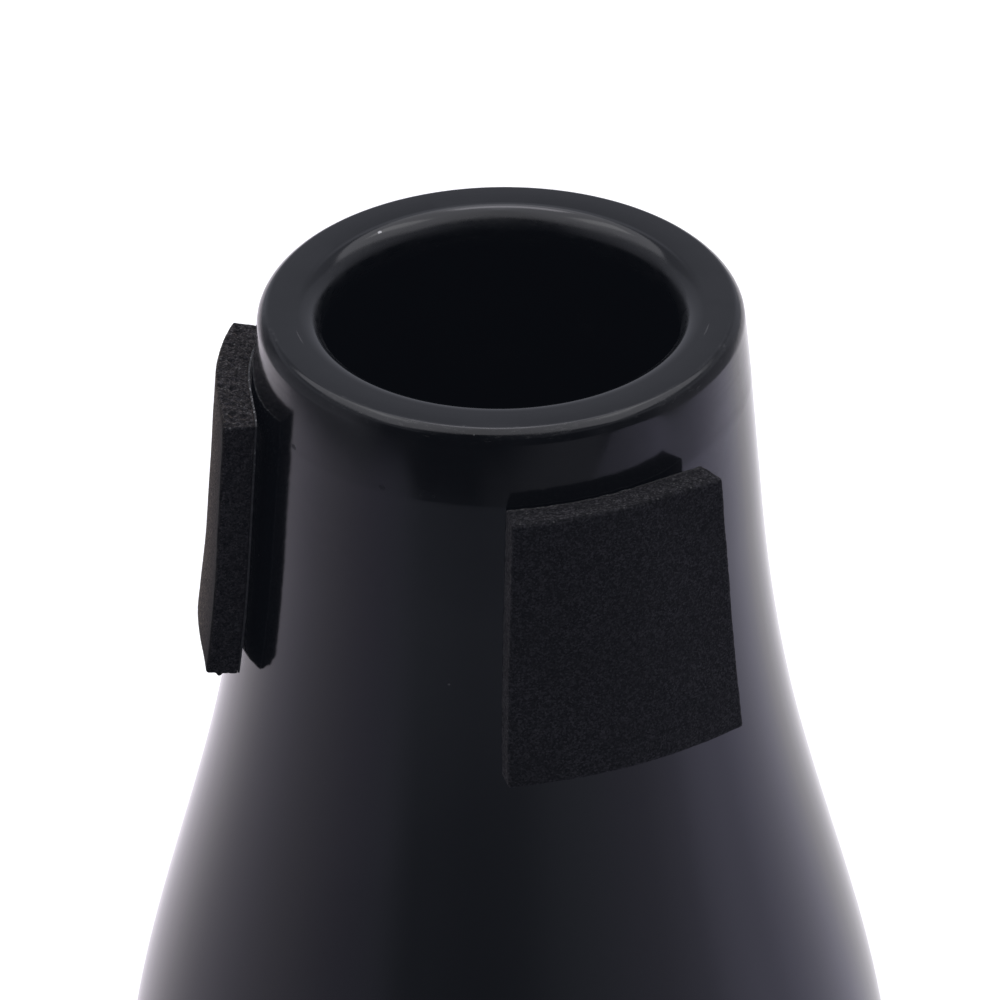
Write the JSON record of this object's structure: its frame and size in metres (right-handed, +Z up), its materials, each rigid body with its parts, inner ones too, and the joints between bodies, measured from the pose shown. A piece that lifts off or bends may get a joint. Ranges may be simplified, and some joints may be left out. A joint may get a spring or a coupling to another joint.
{
  "type": "brass practice mute",
  "caption": "Pear-shaped hollow mute with a thick open rim, a glued base cap and foam pads round the neck that wedge it in the throat of a bell.",
  "frame": {"origin": "middle of the face that the base cap stands on, on the mute's axis", "axes": "+Z up the axis, from the base cap to the open rim; -Y towards the low azimuth edge of the front pad"},
  "size_m": [0.058, 0.058, 0.096],
  "materials": {
    "shell_plastic": "glossy black moulded plastic with fine handling scratches",
    "cap_plastic": "glossy black moulded plastic",
    "foam": "matt black closed-cell foam with open pores on the cut faces",
    "adhesive": "dark self-adhesive film"
  },
  "bodies": {
    "root": {"body_shell": "shell_plastic", "base_cap": "cap_plastic", "front_pad": "foam", "front_pad_adhesive": "adhesive", "left_pad": "foam", "left_pad_adhesive": "adhesive", "rear_pad": "foam", "rear_pad_adhesive": "adhesive"}
  },
  "joints": []
}
